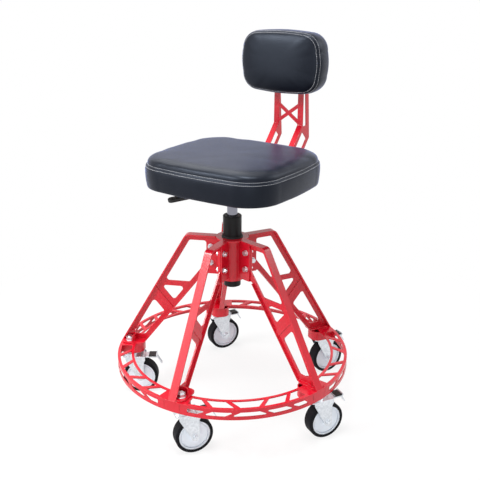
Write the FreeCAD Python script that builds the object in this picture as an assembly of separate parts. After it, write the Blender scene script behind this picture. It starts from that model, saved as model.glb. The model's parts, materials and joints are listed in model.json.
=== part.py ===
import FreeCAD, Part
import math
import os

Vector = FreeCAD.Vector

# Workshop stool on five casters, with a gas lift, a foot ring and a padded backrest.
# Millimetres. The origin is on the floor under the column, +Z is up, the seat faces -Y.

# Column and gas lift: rises are measured from the top of the piece below, starts from its foot
column_r = 25.0
column_foot_r = 23.0
column_wall = 2.0
column_tail = 19.0
column_rise = 58.0
column_floor = 4.0
collar_r = 27.5
collar_foot_r = 29.0
collar_height = 5.0
bush_length = 45.0
bush_lip = 2.0
pressure_tube_r = 14.0
pressure_tube_wall = 2.0
pressure_tube_start = 54.0
pressure_tube_rise = 65.0
pressure_tube_cap = 6.0
rod_r = 5.0
piston_length = 20.0
piston_start = 107.0
bearing_r = 17.0
bearing_height = 8.0
clip_r = 9.0
clip_height = 2.0

# Fits and clearances
running_gap = 0.05
seat_gap = 0.1
clear_gap = 0.3
overrun = 5.0

# Hub
hub_r = 30.0
base_top_z = 490.0
hub_height = 120.0
disc_r = 44.0
disc_thickness = 4.0
fin_r = 70.0
fin_thickness = 4.0
fin_height = 106.0
hub_bolt_r = 4.0
hub_bolt_radius = 58.0
hub_bolt_low_rise = 33.0
hub_bolt_high_rise = 79.0

# Legs: sizes of the truss plate, with its drops measured from the fins' lower edge
leg_count = 5
base_angle = -84.0
leg_sheet = 4.0
leg_shoulder_r = 127.0
leg_shoulder_bend = 16.0
leg_flange_width = 22.0
leg_flange_sheet = 4.0
leg_outer_strip = 17.0
leg_top_band = 17.0
leg_plate_r = 71.0
leg_strut_drop = 46.0
leg_strut_height = 15.0
leg_inner_strip = 15.0
leg_inner_flange_width = 14.0
leg_inner_flange_sheet = 3.0
leg_knee_r = 77.0
leg_foot_length = 70.0
leg_foot_band = 20.0
leg_brace_inset = 111.0
leg_brace_drop = 71.0
leg_brace_angle = 51.0
leg_brace_width = 44.0
leg_bead_width = 14.0
leg_bead_height = 2.0
leg_corner = 7.0
foot_plate_sheet = 4.0
foot_plate_length = 66.0
foot_plate_corner = 15.0
foot_plate_left = 13.0
foot_plate_right = 31.0
foot_rim_r = 15.0
foot_rim_sheet = 2.5
foot_rim_height = 20.0
foot_rim_start_angle = 130.0
foot_rim_end_angle = 270.0

# Foot ring
ring_r = 320.0
ring_width = 45.0
ring_sheet = 3.0
ring_top_z = 157.0
ring_skirt = 30.0
ring_inner_rim = 7.0
ring_fold_rim = 8.0
skirt_fold_rim = 6.0
skirt_low_rim = 9.0
ring_corner = 2.5
chevron_apex_angles = (5.4, 17.9)
chevron_sweep_angle = 4.6
chevron_bar_angle = 2.4
foot_window_angle = 28.4
foot_fold_angle = 4.0
foot_fold_width = 1.2
foot_fold_depth = 1.2

# Foot brackets
bracket_inset = 64.0
bracket_half_width = 27.0
bracket_corner = 22.0
bracket_wall = 3.0
bracket_floor = 4.0

# Casters
caster_inset = 25.0
caster_offset = 14.0
caster_angles = (55.0, 60.0, 61.0, 61.0, 34.0)
wheel_r = 50.0
tread_width = 32.0
tread_depth = 8.5
tread_shoulder = 6.0
core_width = 28.0
core_dish = 2.0
core_rim = 4.5
core_groove = 2.0
core_hub_r = 11.0
axle_r = 4.0
caster_trail = 28.0
fork_sheet = 3.0
fork_gap = 4.0
fork_crown_z = 114.0
fork_crown_sheet = 3.5
fork_crown_front = 21.0
fork_foot_r = 11.0
fork_crown_corner = 8.0
fork_ear_r = 7.0
fork_shoulder_z = 105.0
race_r = 21.0
stem_r = 6.0
stem_collar_r = 17.0
stem_collar_height = 2.5
stem_head_r = 10.0
stem_head_height = 4.0
stem_above_nut = 3.0
pedal_pin_r = 2.5
pedal_pin_x = 36.0
pedal_pin_z = 112.0
pedal_boss_r = 4.2
pedal_shoe_gap = 1.3
pedal_half_width = 15.0
pedal_sheet = 2.5
pedal_length = 41.0
pedal_lip = 5.0
pedal_pad_length = 24.0
pedal_pad_height = 3.0
pedal_tab = 25.0
pedal_tab_half_width = 6.0
pedal_tab_angle = 60.0

# Fasteners: hexagon width and height for a given shank are these shares of its radius
hex_width_share = 3.1
hex_height_share = 1.5
washer_r_share = 1.9
washer_sheet = 1.5
screw_r = 3.0
edge_reach_share = 0.45

# Seat
seat_width = 403.0
seat_depth = 363.0
seat_corner = 90.0
seat_bow = 5.0
seat_shift = 4.0
seat_rise = 21.0
seat_thickness = 87.0
seat_board_thickness = 12.0
seat_board_inset = 9.0
seat_station_shares = (
    (0.00, 0.975), (0.16, 0.995), (0.45, 1.000), (0.66, 0.994),
    (0.80, 0.972), (0.90, 0.918), (0.96, 0.800), (1.00, 0.500),
)

# Seat plate and height lever
plate_half = 95.0
plate_sheet = 3.0
housing_r = 44.0
housing_depth = 27.0
housing_wall = 3.0
socket_r = 20.0
socket_below = 8.0
lever_angle = -132.0
lever_r = 4.0
lever_pivot = 25.0
lever_reach = 150.0
lever_drop_angle = 8.0
lever_boss_r = 6.5
lever_boss_half = 6.0
lever_pin_r = 2.5
lever_lug_sheet = 4.0
valve_pin_r = 3.0
valve_pin_length = 14.0
valve_pin_proud = 4.0
grip_length = 62.0
grip_half_width = 12.0
grip_half_height = 5.0
grip_cover = 40.0
seat_bolt_inset = 12.0

# Backrest
back_width = 252.0
back_height = 170.0
back_corner = 48.0
back_bow = 4.0
back_rise = 204.0
back_offset = 27.5
back_thickness = 70.0
back_board_thickness = 10.0
back_board_inset = 9.0
back_station_shares = (
    (0.00, 0.975), (0.18, 0.995), (0.45, 1.000), (0.69, 0.991),
    (0.83, 0.950), (0.92, 0.850), (0.975, 0.600), (1.00, 0.420),
)
post_x = 47.0
post_sheet = 3.0
post_flange = 17.0
post_overlap = 73.0
post_top_depth = 24.0
post_kink_depth = 41.0
post_rear_strip = 16.0
kink_rise = 111.0
kink_gusset = 40.0
back_screw_inset = 24.0
brace_start = 3.0
brace_height = 57.0
brace_strip = 10.0
arm_strip = 12.0
arm_fall_inset = 7.5
tongue_front_y = 104.0
tongue_sheet = 4.0
tongue_screw_x = 30.0
tongue_screw_inset = 18.0


# Small shape tools

def box(x0, x1, y0, y1, z0, z1):
    return Part.makeBox(x1 - x0, y1 - y0, z1 - z0, Vector(x0, y0, z0))


def cylinder(radius, z0, z1, x=0, y=0):
    return Part.makeCylinder(radius, z1 - z0, Vector(x, y, z0))


def turned(shape, angle, centre=Vector(0, 0, 0), axis=Vector(0, 0, 1)):
    copy = shape.copy()
    copy.rotate(centre, axis, angle)
    return copy


def moved(shape, x, y, z):
    copy = shape.copy()
    copy.translate(Vector(x, y, z))
    return copy


def lathe(profile):
    """Turn a closed (radius, height) outline round the Z axis."""
    points = [Vector(r, 0, z) for r, z in profile]
    wire = Part.makePolygon(points + points[:1])
    return Part.Face(wire).revolve(Vector(0, 0, 0), Vector(0, 0, 1), 360)


def rounded_wire(points, radius):
    """A closed outline in the XZ plane with its corners rounded."""
    radii = radius if isinstance(radius, (list, tuple)) else [radius] * len(points)
    corners = [Vector(x, 0, z) for x, z in points]
    starts = []
    ends = []
    middles = []
    for i, corner in enumerate(corners):
        to_last = corners[i - 1] - corner
        to_next = corners[(i + 1) % len(corners)] - corner
        half_angle = to_last.getAngle(to_next) / 2
        reach = radii[i] / math.tan(half_angle)
        reach = min(reach, edge_reach_share * to_last.Length, edge_reach_share * to_next.Length)
        arc_r = reach * math.tan(half_angle)
        unit_last = to_last.normalize()
        unit_next = to_next.normalize()
        bisector = (unit_last + unit_next).normalize()
        starts.append(corner + unit_last * reach)
        ends.append(corner + unit_next * reach)
        middles.append(corner + bisector * (arc_r / math.sin(half_angle) - arc_r))
    edges = []
    for i in range(len(corners)):
        if radii[i] > 0:
            edges.append(Part.Arc(starts[i], middles[i], ends[i]).toShape())
        edges.append(Part.LineSegment(ends[i], starts[(i + 1) % len(corners)]).toShape())
    return Part.Wire(edges)


def upright_plate(points, radius, y0, y1):
    """A plate standing in the XZ plane, from y0 to y1."""
    plate = Part.Face(rounded_wire(points, radius)).extrude(Vector(0, y1 - y0, 0))
    return moved(plate, 0, y0, 0)


def flat_plate(points, radius, z0, z1):
    """A plate lying in the XY plane, from z0 to z1."""
    return turned(upright_plate(points, radius, -z1, -z0), -90, axis=Vector(1, 0, 0))


def hexagon(width, z0, z1):
    corner_r = width / math.sqrt(3)
    points = []
    for i in range(6):
        angle = math.radians(60 * i)
        points.append(Vector(corner_r * math.cos(angle), corner_r * math.sin(angle), z0))
    return Part.Face(Part.makePolygon(points + points[:1])).extrude(Vector(0, 0, z1 - z0))


def bolt_head(shank_r, z0):
    """A washer and a hexagon head, standing up from z0."""
    washer = cylinder(shank_r * washer_r_share, z0, z0 + washer_sheet)
    low = z0 + washer_sheet
    head = hexagon(shank_r * hex_width_share, low, low + shank_r * hex_height_share)
    return washer.fuse(head)


def nut(shank_r, z0):
    """A washer and a nut with a bore that clears the shank."""
    return bolt_head(shank_r, z0).cut(bore(shank_r + running_gap, z0))


def bore(radius, z_middle=0):
    """A cutter that runs right through the part, up and down from z_middle."""
    reach = 2 * ring_r
    return cylinder(radius, z_middle - reach, z_middle + reach)


def through_plate(shape, x, z):
    """Stand a shape made along Z on the XZ plane, so that it points along -Y at (x, z)."""
    return moved(turned(shape, 90, axis=Vector(1, 0, 0)), x, 0, z)


# Lines in the leg's own plane, each as a point and a direction

def line_through(a, b):
    return a, (b[0] - a[0], b[1] - a[1])


def shifted(line, distance):
    """The same line moved to its left."""
    (x, z), (dx, dz) = line
    length = math.hypot(dx, dz)
    return (x - dz * distance / length, z + dx * distance / length), (dx, dz)


def level(z):
    return (0, z), (1, 0)


def plumb(x):
    return (x, 0), (0, 1)


def meet(first, second):
    (ax, az), (adx, adz) = first
    (bx, bz), (bdx, bdz) = second
    spread = adx * bdz - adz * bdx
    along = ((bx - ax) * bdz - (bz - az) * bdx) / spread
    return ax + along * adx, az + along * adz


# Values worked out from the driving sizes

ring_inner_r = ring_r - ring_width
caster_r = ring_r - caster_inset
leg_toe_r = ring_r - leg_foot_length
skirt_low_z = ring_top_z - ring_skirt
fin_top_z = base_top_z - disc_thickness
fin_low_z = fin_top_z - fin_height
hub_low_z = base_top_z - hub_height
hub_bolt_low_z = fin_low_z + hub_bolt_low_rise
hub_bolt_high_z = fin_low_z + hub_bolt_high_rise
column_low_z = hub_low_z - column_tail
column_top_z = base_top_z + column_rise
pressure_tube_low_z = column_low_z + pressure_tube_start
pressure_tube_top_z = column_top_z + pressure_tube_rise
piston_z = pressure_tube_low_z + piston_start
leg_strut_z = fin_low_z - leg_strut_drop
leg_brace_z = fin_low_z - leg_brace_drop
web_inner_r = disc_r + 2 * seat_gap
leg_step_angle = 360.0 / leg_count
leg_angles = [base_angle + leg_step_angle * i for i in range(leg_count)]
foot_plate_top_z = ring_top_z + foot_plate_sheet
seat_low_z = pressure_tube_top_z + seat_rise
seat_board_top_z = seat_low_z + seat_board_thickness
plate_low_z = seat_low_z - plate_sheet
back_low_z = seat_low_z + back_rise
seat_back_y = seat_shift + seat_depth / 2
back_front_y = seat_back_y + back_offset
back_back_y = back_front_y + back_thickness
arm_fall_y = seat_back_y - arm_fall_inset
back_middle_z = back_low_z + back_height / 2
fork_inner_y = tread_width / 2 + fork_gap
fork_outer_y = fork_inner_y + fork_sheet
fork_top_z = fork_crown_z + fork_crown_sheet
race_top_z = skirt_low_z - stem_collar_height - clear_gap
post_front_y = back_back_y + clear_gap
post_top_z = back_low_z + post_overlap
kink_z = seat_low_z + kink_rise
brace_low_z = kink_z + brace_start


# Hub

def column_r_at(z):
    taper = (column_r - column_foot_r) / (base_top_z - column_low_z)
    return column_r - taper * (base_top_z - z)


def make_hub():
    hub = cylinder(hub_r, hub_low_z, base_top_z)
    hub = hub.fuse(cylinder(disc_r, fin_top_z, base_top_z))
    inner = (column_r + hub_r) / 2
    for angle in leg_angles:
        for side in (leg_sheet / 2, -leg_sheet / 2 - fin_thickness):
            fin = box(inner, fin_r, side, side + fin_thickness, fin_low_z, fin_top_z)
            for z in (hub_bolt_low_z, hub_bolt_high_z):
                fin = fin.cut(through_plate(bore(hub_bolt_r + seat_gap), hub_bolt_radius, z))
            hub = hub.fuse(turned(fin, angle))
    socket = lathe([
        (0, hub_low_z - overrun), (column_r_at(hub_low_z - overrun) + seat_gap, hub_low_z - overrun),
        (column_r + seat_gap, base_top_z), (column_r + seat_gap, base_top_z + overrun),
        (0, base_top_z + overrun),
    ])
    return hub.cut(socket).removeSplitter()


def make_hub_fasteners():
    bolts = []
    nuts = []
    grip_half = leg_sheet / 2 + fin_thickness
    end = grip_half + washer_sheet + hub_bolt_r * hex_height_share + hub_bolt_r / 2
    for angle in leg_angles:
        for z in (hub_bolt_low_z, hub_bolt_high_z):
            bolt = cylinder(hub_bolt_r, -end, grip_half).fuse(bolt_head(hub_bolt_r, grip_half))
            bolts.append(turned(through_plate(bolt, hub_bolt_radius, z), angle))
            back_nut = turned(nut(hub_bolt_r, grip_half), 180, axis=Vector(1, 0, 0))
            nuts.append(turned(through_plate(back_nut, hub_bolt_radius, z), angle))
    return Part.makeCompound(bolts), Part.makeCompound(nuts)


# Legs

def make_leg():
    shoulder = (leg_shoulder_r, base_top_z)
    foot = (ring_r, ring_top_z)
    outer = line_through(foot, shoulder)
    inner = line_through((leg_knee_r, fin_low_z), (leg_toe_r, ring_top_z))
    outer_cut = shifted(outer, leg_outer_strip)
    inner_cut = shifted(inner, leg_inner_strip)
    slope = math.radians(leg_brace_angle)
    brace = ((ring_r - leg_brace_inset, leg_brace_z), (math.cos(slope), math.sin(slope)))
    brace_low = shifted(brace, -leg_brace_width / 2)
    brace_high = shifted(brace, leg_brace_width / 2)
    top_cut = level(base_top_z - leg_top_band)
    strut_top = level(leg_strut_z + leg_strut_height)
    strut_low = level(leg_strut_z)
    foot_cut = level(ring_top_z + leg_foot_band)
    plate_edge = plumb(leg_plate_r)

    outline = [
        (web_inner_r, base_top_z), shoulder, foot, (leg_toe_r, ring_top_z),
        (leg_knee_r, fin_low_z), (web_inner_r, fin_low_z),
    ]
    half = leg_sheet / 2
    web = upright_plate(outline, [0, leg_shoulder_bend, 0, 0, 0, 0], -half, half)
    windows = [
        [meet(plate_edge, top_cut), meet(outer_cut, top_cut), meet(outer_cut, strut_top),
         meet(inner_cut, strut_top), meet(inner_cut, plate_edge)],
        [meet(inner_cut, strut_low), meet(brace_high, strut_low), meet(brace_high, inner_cut)],
        [meet(outer_cut, brace_low), meet(outer_cut, foot_cut), meet(inner_cut, foot_cut),
         meet(inner_cut, brace_low)],
    ]
    for window in windows:
        web = web.cut(upright_plate(window, leg_corner, -leg_sheet, leg_sheet))
    for z in (hub_bolt_low_z, hub_bolt_high_z):
        web = web.cut(through_plate(bore(hub_bolt_r + seat_gap), hub_bolt_radius, z))

    bead_low = shifted(brace, -leg_bead_width / 2)
    bead_high = shifted(brace, leg_bead_width / 2)
    bead_in = shifted(inner, leg_inner_flange_sheet)
    bead_out = shifted(outer, leg_flange_sheet)
    bead = [meet(bead_low, bead_out), meet(bead_high, bead_out), meet(bead_high, bead_in),
            meet(bead_low, bead_in)]
    web = web.fuse(upright_plate(bead, 0, half, half + leg_bead_height))
    web = web.fuse(upright_plate(bead, 0, -half - leg_bead_height, -half))

    flange_half = leg_flange_width / 2
    outer_face = shifted(outer, leg_flange_sheet)
    under_top = level(base_top_z - leg_flange_sheet)
    flange = [
        (web_inner_r, base_top_z), shoulder, foot, meet(outer_face, level(ring_top_z)),
        meet(outer_face, under_top), (web_inner_r, base_top_z - leg_flange_sheet),
    ]
    bends = [0, leg_shoulder_bend, 0, 0, leg_shoulder_bend - leg_flange_sheet, 0]
    leg = web.fuse(upright_plate(flange, bends, -flange_half, flange_half))

    inner_half = leg_inner_flange_width / 2
    inner_face = shifted(inner, leg_inner_flange_sheet)
    start_z = fin_low_z - leg_inner_flange_sheet
    inner_flange = [
        meet(inner, level(start_z)), meet(inner, level(ring_top_z)),
        meet(inner_face, level(ring_top_z)), meet(inner_face, level(start_z)),
    ]
    leg = leg.fuse(upright_plate(inner_flange, 0, -inner_half, inner_half))
    leg = leg.fuse(make_foot_plate())
    return leg.removeSplitter()


def make_foot_plate():
    outer_r = ring_r - foot_plate_sheet
    inner_r = outer_r - foot_plate_length
    corners = [
        (inner_r, -foot_plate_left), (outer_r, -foot_plate_left), (outer_r, foot_plate_right),
        (inner_r, foot_plate_right),
    ]
    plate = flat_plate(corners, foot_plate_corner, ring_top_z, foot_plate_top_z)
    rim_top_z = foot_plate_top_z + foot_rim_height
    rim = cylinder(foot_rim_r + foot_rim_sheet, ring_top_z, rim_top_z)
    rim = rim.cut(cylinder(foot_rim_r, ring_top_z - overrun, rim_top_z + overrun))
    span = foot_rim_end_angle - foot_rim_start_angle
    sector = Part.makeCylinder(ring_r, rim_top_z, Vector(0, 0, 0), Vector(0, 0, 1), span)
    rim = rim.common(turned(sector, foot_rim_start_angle))
    plate = plate.fuse(moved(rim, caster_r, caster_offset, 0))
    hole = cylinder(stem_r + seat_gap, ring_top_z - overrun, foot_plate_top_z + overrun)
    return plate.cut(moved(hole, caster_r, caster_offset, 0))


# Foot ring

def on_circle(radius, angle, z=0):
    turn = math.radians(angle)
    return Vector(radius * math.cos(turn), radius * math.sin(turn), z)


def annulus_window(outer_from, outer_to, inner_from, inner_to):
    """A cutter for one opening of the flat top, between two swept bars."""
    r0 = ring_inner_r + ring_inner_rim
    r1 = ring_r - ring_fold_rim
    low = ring_top_z - ring_sheet - overrun
    a = on_circle(r1, outer_from, low)
    b = on_circle(r1, outer_to, low)
    c = on_circle(r0, inner_to, low)
    d = on_circle(r0, inner_from, low)
    edges = [
        Part.Arc(a, on_circle(r1, (outer_from + outer_to) / 2, low), b).toShape(),
        Part.LineSegment(b, c).toShape(),
        Part.Arc(c, on_circle(r0, (inner_from + inner_to) / 2, low), d).toShape(),
        Part.LineSegment(d, a).toShape(),
    ]
    return Part.Face(Part.Wire(edges)).extrude(Vector(0, 0, ring_sheet + 2 * overrun))


def skirt_window(high_from, high_to, low_from, low_to):
    """A cutter for one opening of the skirt, between two swept bars."""
    middle = (high_from + high_to + low_from + low_to) / 4
    high = ring_top_z - ring_sheet - skirt_fold_rim
    low = skirt_low_z + skirt_low_rim
    points = []
    for angle, z in ((high_from, high), (high_to, high), (low_to, low), (low_from, low)):
        points.append((-ring_r * math.sin(math.radians(angle - middle)), z))
    cutter = upright_plate(points, ring_corner, ring_r - ring_width / 2, ring_r + overrun)
    return turned(turned(cutter, -90), middle)


def window_spans():
    """Angles of the bars' edges at the fold and at the far end of the bars, over one span."""
    near, far = chevron_apex_angles
    half = chevron_bar_angle / 2
    sweep = chevron_sweep_angle
    middle = (-near + half, near - half, -near - sweep + half, near + sweep - half)
    side = (near + half, far - half, near + sweep + half, far + sweep - half)
    end = (far + half, foot_window_angle, far + sweep + half, foot_window_angle)
    spans = [middle]
    for first, second, third, fourth in (side, end):
        spans.append((first, second, third, fourth))
        spans.append((-second, -first, -fourth, -third))
    return spans


def make_ring():
    ring = lathe([
        (ring_inner_r, ring_top_z), (ring_r, ring_top_z), (ring_r, skirt_low_z),
        (ring_r - ring_sheet, skirt_low_z), (ring_r - ring_sheet, ring_top_z - ring_sheet),
        (ring_inner_r, ring_top_z - ring_sheet),
    ])
    cutters = []
    for leg_turn in leg_angles:
        span_turn = leg_turn + leg_step_angle / 2
        for span in window_spans():
            cutters.append(turned(annulus_window(*span), span_turn))
            cutters.append(turned(skirt_window(*span), span_turn))
        hole = cylinder(stem_r + seat_gap, skirt_low_z, ring_top_z + overrun)
        cutters.append(turned(moved(hole, caster_r, caster_offset, 0), leg_turn))
        for side in (-foot_fold_angle, foot_fold_angle):
            half = foot_fold_width / 2
            groove = box(ring_r - foot_fold_depth, ring_r + overrun, -half, half,
                         skirt_low_z - overrun, ring_top_z + overrun)
            cutters.append(turned(groove, leg_turn + side))
    return ring.cut(cutters)


# Foot brackets

def make_foot_bracket():
    top_z = ring_top_z - ring_sheet
    outer_r = (ring_r - ring_sheet) * math.cos(bracket_half_width / ring_r) - clear_gap

    def outline(inset):
        half = bracket_half_width - inset
        inner = ring_r - bracket_inset + inset
        return [(inner, -half), (outer_r + inset, -half), (outer_r + inset, half), (inner, half)]

    rounds = [bracket_corner, 0, 0, bracket_corner]
    inner_rounds = [bracket_corner - bracket_wall, 0, 0, bracket_corner - bracket_wall]
    bracket = flat_plate(outline(0), rounds, skirt_low_z, top_z)
    hollow = flat_plate(outline(bracket_wall), inner_rounds, skirt_low_z + bracket_floor, top_z + overrun)
    hole = cylinder(stem_r + seat_gap, skirt_low_z - overrun, top_z)
    return bracket.cut(hollow).cut(moved(hole, caster_r, caster_offset, 0))


# Gas lift

def make_gas_tube():
    tube = lathe([
        (0, column_low_z), (column_foot_r, column_low_z), (column_r, base_top_z),
        (column_r, column_top_z), (0, column_top_z),
    ])
    inside = cylinder(column_foot_r - column_wall, column_low_z + column_floor, column_top_z + overrun)
    mouth_z = column_top_z - bush_length
    inside = inside.fuse(cylinder(column_r - column_wall, mouth_z, column_top_z + overrun))
    return tube.cut(inside).cut(bore(rod_r + running_gap))


def make_collar():
    top_z = base_top_z + collar_height
    return lathe([
        (column_r + seat_gap, base_top_z), (collar_foot_r, base_top_z),
        (collar_foot_r, base_top_z + collar_height / 4), (collar_r, base_top_z + collar_height / 2),
        (collar_r, top_z), (column_r + seat_gap, top_z),
    ])


def make_bush():
    outside = column_r - column_wall - seat_gap
    low_z = column_top_z - bush_length
    lip_z = column_top_z + bush_lip
    inside = pressure_tube_r + running_gap
    lip_r = column_r - column_wall / 2
    return lathe([
        (inside, low_z), (outside, low_z), (outside, column_top_z), (lip_r, column_top_z),
        (lip_r, lip_z - bush_lip / 2), (lip_r - bush_lip / 2, lip_z), (inside, lip_z),
    ])


def make_rod():
    low_z = column_low_z - clip_height - 2 * clear_gap
    piston_r = pressure_tube_r - pressure_tube_wall - running_gap
    return lathe([
        (0, low_z), (rod_r, low_z), (rod_r, piston_z), (piston_r, piston_z),
        (piston_r, piston_z + piston_length), (0, piston_z + piston_length),
    ])


def make_bearing():
    low_z = column_low_z + column_floor + running_gap
    return lathe([
        (rod_r + seat_gap, low_z), (bearing_r, low_z), (bearing_r, low_z + bearing_height),
        (rod_r + seat_gap, low_z + bearing_height),
    ])


def make_clip():
    top_z = column_low_z - clear_gap
    return lathe([
        (rod_r + seat_gap, top_z - clip_height), (clip_r, top_z - clip_height), (clip_r, top_z),
        (rod_r + seat_gap, top_z),
    ])


def make_pressure_tube():
    inside = pressure_tube_r - pressure_tube_wall
    low = pressure_tube_low_z
    tube = cylinder(pressure_tube_r, low, pressure_tube_top_z)
    tube = tube.cut(cylinder(inside, low + pressure_tube_cap, pressure_tube_top_z - pressure_tube_cap))
    tube = tube.cut(cylinder(rod_r + running_gap, low - overrun, low + pressure_tube_cap + overrun))
    top = pressure_tube_top_z
    return tube.cut(cylinder(valve_pin_r + running_gap, top - pressure_tube_cap - overrun, top + overrun))


def make_valve_pin():
    top_z = pressure_tube_top_z + valve_pin_proud
    return cylinder(valve_pin_r, top_z - valve_pin_length, top_z)


# Padded pieces

def pad_outline(width, height, corner, bow, share, z):
    """A rounded rectangle whose sides bow out a little, scaled by a share."""
    x = width / 2 * share
    y = height / 2 * share
    r = corner * share
    swell = bow * share
    diagonal = r * (1 - math.sqrt(0.5))
    x_in = x - swell
    y_in = y - swell
    spots = [
        (x_in, -(y_in - r)), (x, 0), (x_in, y_in - r), (x_in - diagonal, y_in - diagonal),
        (x_in - r, y_in), (0, y), (-(x_in - r), y_in), (-(x_in - diagonal), y_in - diagonal),
        (-x_in, y_in - r), (-x, 0), (-x_in, -(y_in - r)), (-(x_in - diagonal), -(y_in - diagonal)),
        (-(x_in - r), -y_in), (0, -y), (x_in - r, -y_in), (x_in - diagonal, -(y_in - diagonal)),
    ]
    points = [Vector(px, py, z) for px, py in spots]
    points.append(points[0])
    edges = []
    for i in range(0, len(spots), 2):
        edges.append(Part.Arc(points[i], points[i + 1], points[i + 2]).toShape())
    return Part.Wire(edges)


def pad(width, height, corner, bow, thickness, station_shares, pocket_inset, pocket_depth):
    """A crowned pad standing up from z = 0, with a pocket for its board underneath."""
    wires = []
    for height_share, outline_share in station_shares:
        wires.append(pad_outline(width, height, corner, bow, outline_share, thickness * height_share))
    solid = Part.makeLoft(wires, True, True)
    depth = pocket_depth + clear_gap + overrun
    pocket = board(width, height, corner, bow, pocket_inset - clear_gap, depth)
    return solid.cut(moved(pocket, 0, 0, -overrun))


def board(width, height, corner, bow, inset, thickness):
    outline = pad_outline(width - 2 * inset, height - 2 * inset, corner - inset, bow, 1, 0)
    return Part.Face(outline).extrude(Vector(0, 0, thickness))


def make_seat_cushion():
    cushion = pad(seat_width, seat_depth, seat_corner, seat_bow, seat_thickness, seat_station_shares,
                  seat_board_inset, seat_board_thickness)
    return moved(cushion, 0, seat_shift, seat_low_z)


def make_seat_board():
    panel = board(seat_width, seat_depth, seat_corner, seat_bow, seat_board_inset, seat_board_thickness)
    return moved(panel, 0, seat_shift, seat_low_z).cut(seat_bolt_holes())


def stand_back(shape):
    """Turn a pad made lying down so that it stands with its crown towards -Y."""
    return moved(turned(shape, 90, axis=Vector(1, 0, 0)), 0, back_back_y, back_middle_z)


def make_back_pad():
    return stand_back(pad(back_width, back_height, back_corner, back_bow, back_thickness,
                          back_station_shares, back_board_inset, back_board_thickness))


def make_back_board():
    panel = board(back_width, back_height, back_corner, back_bow, back_board_inset, back_board_thickness)
    panel = stand_back(panel)
    for hole in back_screw_places():
        panel = panel.cut(through_plate(bore(screw_r + running_gap), *hole))
    return panel


# Seat plate, its bolts and the height lever

def plate_bolt_places():
    reach = plate_half - seat_bolt_inset
    return [(x, y) for x in (-reach, reach) for y in (-reach, reach)]


def tongue_bolt_places():
    y = tongue_front_y + tongue_screw_inset
    return [(-tongue_screw_x, y), (tongue_screw_x, y)]


def seat_bolt_holes():
    low = seat_low_z - tongue_sheet - plate_sheet
    holes = []
    for x, y in plate_bolt_places() + tongue_bolt_places():
        holes.append(cylinder(screw_r + running_gap, low, seat_board_top_z + overrun, x, y))
    return holes


def make_seat_bolts():
    bolts = []
    for places, sheet in ((plate_bolt_places(), plate_sheet), (tongue_bolt_places(), tongue_sheet)):
        for x, y in places:
            under = seat_low_z - sheet
            head = turned(bolt_head(screw_r, 0), 180, axis=Vector(1, 0, 0))
            shank = cylinder(screw_r, 0, sheet + seat_board_thickness - clear_gap)
            bolts.append(moved(head.fuse(shank), x, y, under))
    return Part.makeCompound(bolts)


def make_seat_plate():
    plate = box(-plate_half, plate_half, -plate_half, plate_half, plate_low_z, seat_low_z)
    low_z = plate_low_z - housing_depth
    shell = cylinder(housing_r, low_z, plate_low_z)
    shell = shell.cut(cylinder(housing_r - housing_wall, low_z + housing_wall, plate_low_z))
    plate = plate.fuse(shell).fuse(cylinder(socket_r, low_z - socket_below, low_z + housing_wall))
    plate = plate.cut(cylinder(pressure_tube_r + seat_gap, low_z - socket_below - overrun,
                               low_z + housing_wall + overrun))
    slot_half = lever_boss_half + overrun
    slot = box(lever_pivot, housing_r + overrun, -slot_half, slot_half, low_z + housing_wall, plate_low_z)
    plate = plate.cut(turned(slot, lever_angle))
    for side in (lever_boss_half + clear_gap, -lever_boss_half - clear_gap - lever_lug_sheet):
        lug = box(lever_pivot - lever_boss_r, lever_pivot + lever_boss_r, side, side + lever_lug_sheet,
                  lever_axis_z() - lever_boss_r, plate_low_z)
        lug = lug.cut(through_plate(bore(lever_pin_r + running_gap), lever_pivot, lever_axis_z()))
        plate = plate.fuse(turned(lug, lever_angle))
    return plate.cut(seat_bolt_holes()).removeSplitter()


def lever_axis_z():
    return pressure_tube_top_z + valve_pin_proud + 2 * clear_gap + lever_r


def tilted_bar(bar):
    """Tilt a bar about the lever's pin so that its outer end hangs lower."""
    centre = Vector(lever_pivot, 0, lever_axis_z())
    return turned(bar, lever_drop_angle, centre, Vector(0, 1, 0))


def make_lever():
    z = lever_axis_z()
    inner = Part.makeCylinder(lever_r, lever_pivot + lever_r, Vector(-lever_r, 0, z), Vector(1, 0, 0))
    outer = Part.makeCylinder(lever_r, lever_reach - lever_pivot, Vector(lever_pivot, 0, z), Vector(1, 0, 0))
    boss = through_plate(cylinder(lever_boss_r, -lever_boss_half, lever_boss_half), lever_pivot, z)
    lever = boss.fuse(inner).fuse(tilted_bar(outer))
    lever = lever.cut(through_plate(bore(lever_pin_r + running_gap), lever_pivot, z))
    return turned(lever, lever_angle)


def make_lever_pin():
    half = lever_boss_half + clear_gap + lever_lug_sheet
    pin = through_plate(cylinder(lever_pin_r, -half, half), lever_pivot, lever_axis_z())
    return turned(pin, lever_angle)


def make_grip():
    z = lever_axis_z()
    start = lever_reach - grip_cover
    end = start + grip_length
    corners = [(start, -grip_half_width), (end, -grip_half_width), (end, grip_half_width),
               (start, grip_half_width)]
    half = grip_half_height
    rounds = [grip_half_height, grip_half_width, grip_half_width, grip_half_height]
    grip = flat_plate(corners, rounds, z - half, z + half)
    edges = [edge for edge in grip.Edges if edge.BoundBox.ZLength < half]
    grip = grip.makeFillet(half / 2, edges)
    socket = Part.makeCylinder(lever_r + running_gap, lever_reach + clear_gap, Vector(0, 0, z),
                               Vector(1, 0, 0))
    return turned(tilted_bar(grip.cut(socket)), lever_angle)


# Backrest bracket

def stand_side(points, radius, x0, x1):
    """A plate standing in the YZ plane, from x0 to x1, given by (y, z) points."""
    return turned(upright_plate(points, radius, -x1, -x0), 90)


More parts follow.
